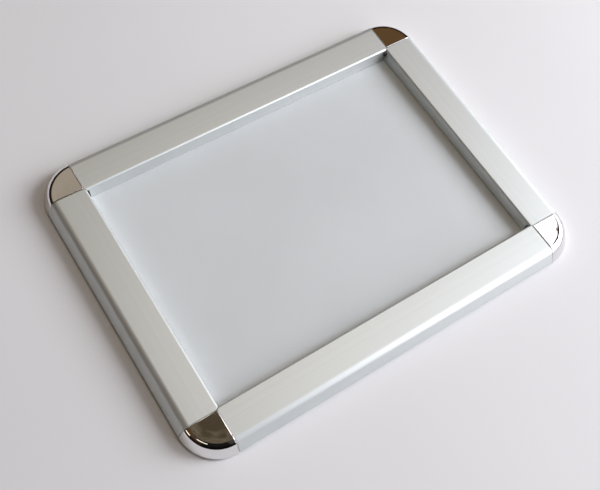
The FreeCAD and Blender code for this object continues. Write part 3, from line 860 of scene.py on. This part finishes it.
class Glow(Enum):
    """Soft lamps: azimuth, distance and height of the middle in metres, size, brightness, colour and kind.

    The kinds are: an upright lamp, one that looks down at the table, and drapes that only metal mirrors.
    """

    DRAPES = (-21.0, 1.80, 2.15, (3.10, 3.70), 1.3, "#F8F9FA", "mirrored")
    SIDE_PANE = (-65.0, 1.76, 0.62, (0.34, 0.75), 7.6, "#F2F4FA", "upright")
    PANE_LEFT = (-32.0, 1.76, 1.12, (0.34, 1.32), 10.7, "#F2F4FA", "upright")
    PANE_MIDDLE = (-21.0, 1.76, 1.12, (0.34, 1.32), 15.2, "#F2F4FA", "upright")
    PANE_RIGHT = (-10.0, 1.76, 1.12, (0.34, 1.32), 9.8, "#F2F4FA", "upright")
    CEILING = (50.0, 0.65, 1.90, (0.62, 0.48), 3.9, "#FFF6EA", "down")
    FAR_PANE = (178.0, 1.50, 0.68, (0.30, 0.24), 1.6, "#FFF1CC", "mirrored")
    FAR_PANE_BESIDE = (207.0, 1.50, 1.34, (0.62, 0.26), 1.6, "#FFF8E4", "mirrored")


@dataclass(frozen=True)
class Studio:
    """Pale table, a tall window to the right, two small panes to the left and the brown room round them."""

    table: str = "#F9F9FA"
    table_cloud: float = 0.97  # share of the colour where the table is greyest
    table_radius: float = 1.72  # metres
    table_drop: float = 0.0004  # metres, keeps the table clear of the frame's flat underside
    backdrop: str = "#F6F6F6"
    backdrop_level: float = 0.03  # sine of the height up to which metal mirrors the backdrop
    wall_rise: tuple[float, float] = (0.42, 0.58)  # sines of the heights between which a wall's colour changes
    ceiling: tuple[str, str] = ("#4C4233", "#756B5A")
    ceiling_rise: tuple[float, float] = (0.84, 0.93)
    shelf: tuple[str, str] = ("#2C1A12", "#4A2F22")
    shelf_azimuth: float = -3.2  # degrees
    shelf_distance: float = 1.5  # metres
    shelf_size: tuple[float, float, float] = (0.74, 1.30, 1.955)  # metres: width, low and high edge

    def build(self) -> None:
        """Make the floor, the shelf board, the lamps and the world."""
        self.floor()
        self.shelf_board()
        for glow in Glow:
            self.lamp(glow)
        self.world()

    def floor(self) -> None:
        """A large round pale table with a faint cloudiness: a disc, its rim points at even turns."""
        made, tree, shader = new_material("pale_table")
        place = add(tree, "TexCoord").outputs["Object"]
        cloud = add(tree, "TexNoise", Vector=place, Scale=4.0, Detail=2.0)
        stops = ((0.3, toned(self.table, self.table_cloud)), (0.7, linear(self.table)))
        tree.links.new(ramp(tree, cloud.outputs["Fac"], stops), shader.inputs["Base Color"])
        shader.inputs["Roughness"].default_value = 0.9
        shader.inputs["Specular IOR Level"].default_value = 0.1
        turn = np.linspace(0, 2 * math.pi, 144, endpoint=False)
        rim = self.table_radius * np.stack((np.cos(turn), np.sin(turn), 0 * turn), 1)
        mesh = bpy.data.meshes.new("table_top")
        mesh.from_pydata([tuple(point) for point in rim], [], [tuple(range(len(rim)))])
        mesh.materials.append(made)
        top = bpy.data.objects.new("table_top", mesh)
        top.location.z = -self.table_drop
        bpy.context.scene.collection.objects.link(top)

    def shelf_board(self) -> None:
        """A brown board in front of the drapes, that only bright metal mirrors."""
        made, tree, shader = new_material("brown_shelf_board")
        grain = add(tree, "TexNoise", Vector=add(tree, "TexCoord").outputs["Object"], Scale=30.0, Detail=2.0)
        tones = ramp(tree, grain.outputs["Fac"], tuple(zip((0.3, 0.7), map(linear, self.shelf))))
        tree.links.new(tones, shader.inputs["Emission Color"])
        shader.inputs["Emission Strength"].default_value = 1.0
        shader.inputs["Base Color"].default_value = linear("#000000")
        shader.inputs["Specular IOR Level"].default_value = 0.0
        turn = math.radians(self.shelf_azimuth)
        out, across = np.array((math.cos(turn), math.sin(turn), 0)), np.array((-math.sin(turn), math.cos(turn), 0))
        width, low, high = self.shelf_size
        corners = [self.shelf_distance * out + across * side * width / 2 + np.array((0, 0, level))
                   for side, level in ((-1, low), (1, low), (1, high), (-1, high))]
        mesh = bpy.data.meshes.new("shelf_board")
        mesh.from_pydata([tuple(c) for c in corners], [], [(0, 1, 2, 3)])
        mesh.materials.append(made)
        board = bpy.data.objects.new("shelf_board", mesh)
        board.visible_camera = board.visible_diffuse = board.visible_shadow = board.visible_transmission = False
        bpy.context.scene.collection.objects.link(board)

    def lamp(self, glow: Glow) -> bpy.types.Object:
        """A rectangular soft lamp that stands upright, or looks down at the middle of the table.

        Args:
            glow: which lamp. Its brightness is that of its face, where 1 is white, so its power is the
                brightness times pi times its area.

        Returns:
            The lamp.
        """
        azimuth, distance, height, size, bright, colour, kind = glow.value
        data = bpy.data.lights.new(glow.name.lower(), "AREA")
        data.shape = "RECTANGLE"
        data.size, data.size_y = size
        data.energy = bright * math.pi * size[0] * size[1]
        data.color = linear(colour)[:3]
        turn = math.radians(azimuth)
        place = Vector((distance * math.cos(turn), distance * math.sin(turn), height))
        aim = -place if kind == "down" else Vector((-place.x, -place.y, 0))
        made = bpy.data.objects.new(data.name, data)
        made.location = place
        made.rotation_euler = aim.to_track_quat("-Z", "Y").to_euler()
        made.visible_diffuse = kind != "mirrored"
        bpy.context.scene.collection.objects.link(made)
        return made

    def world(self) -> None:
        """The room above the table, by direction, and a white background.

        The camera sees white all round. Glossy and transmitted rays see that white at the level of the table
        and below it, and the room above it. Heights are sines of the angle over the table.
        """
        world = bpy.data.worlds.new("room")
        bpy.context.scene.world = world
        world.use_nodes = True
        tree = world.node_tree
        tree.nodes.clear()
        place = add(tree, "TexCoord").outputs["Generated"]
        parts = add(tree, "SeparateXYZ", Vector=place).outputs
        turn = add(tree, "Math", {"operation": "ARCTAN2"}, i0=parts["Y"], i1=parts["X"])
        share = add(tree, "MapRange", Value=turn.outputs[0], From_Min=-math.pi, From_Max=math.pi)
        low, high = [ramp(tree, share.outputs["Result"], [stop for wall in Wall for stop in wall.stops(upper)])
                     for upper in (False, True)]
        smooth = {"interpolation_type": "SMOOTHSTEP"}
        up = add(tree, "MapRange", smooth, Value=parts["Z"], From_Min=self.wall_rise[0], From_Max=self.wall_rise[1])
        walls = add(tree, "MixRGB", Fac=up.outputs["Result"], Color1=low, Color2=high).outputs["Color"]
        rise = add(tree, "MapRange", smooth, Value=parts["Z"], From_Min=self.ceiling_rise[0],
                   From_Max=self.ceiling_rise[1])
        cloud = add(tree, "TexNoise", Vector=place, Scale=24.0, Detail=2.0)
        shade = ramp(tree, cloud.outputs["Fac"], ((0.38, linear(self.ceiling[0])), (0.62, linear(self.ceiling[1]))))
        room = add(tree, "MixRGB", Fac=rise.outputs["Result"], Color1=walls, Color2=shade)
        path = add(tree, "LightPath")
        mirrored = add(tree, "Math", {"operation": "MAXIMUM"}, i0=path.outputs["Is Glossy Ray"],
                       i1=path.outputs["Is Transmission Ray"])
        level = add(tree, "MapRange", Value=parts["Z"], From_Min=self.backdrop_level, From_Max=0.0)
        mirrored = add(tree, "Math", {"operation": "MULTIPLY"}, i0=mirrored.outputs[0], i1=level.outputs["Result"])
        seen = add(tree, "Math", {"operation": "MAXIMUM"}, i0=path.outputs["Is Camera Ray"],
                   i1=mirrored.outputs[0])
        plain = add(tree, "Background", Color=room.outputs["Color"], Strength=1.0)
        white = add(tree, "Background", Color=linear(self.backdrop), Strength=1.0)
        mixed = add(tree, "MixShader", i0=seen.outputs[0], i1=plain.outputs[0], i2=white.outputs[0])
        add(tree, "OutputWorld", Surface=mixed.outputs[0])


def main() -> None:
    """Build the pieces in order, dress the rest and set the scene."""
    logging.basicConfig(level=logging.INFO, format="%(name)s: %(message)s")
    bpy.context.scene.view_settings.view_transform = "Standard"
    layout = Layout()
    streaked = AnodisedAluminium().material(Along.MAP)
    flap = Flap(layout)
    for side in Side:
        made = flap.build(side, streaked)
        LOG.info("%s: %d faces", made.name, len(made.data.polygons))
    chrome = ChromedPlastic().material()
    cap = CornerCap(layout)
    for corner in Corner:
        made = cap.build(corner, chrome)
        LOG.info("%s: %d faces", made.name, len(made.data.polygons))
    Hidden().dress()
    Viewpoint().build()
    Studio().build()


if __name__ == "__main__":
    main()
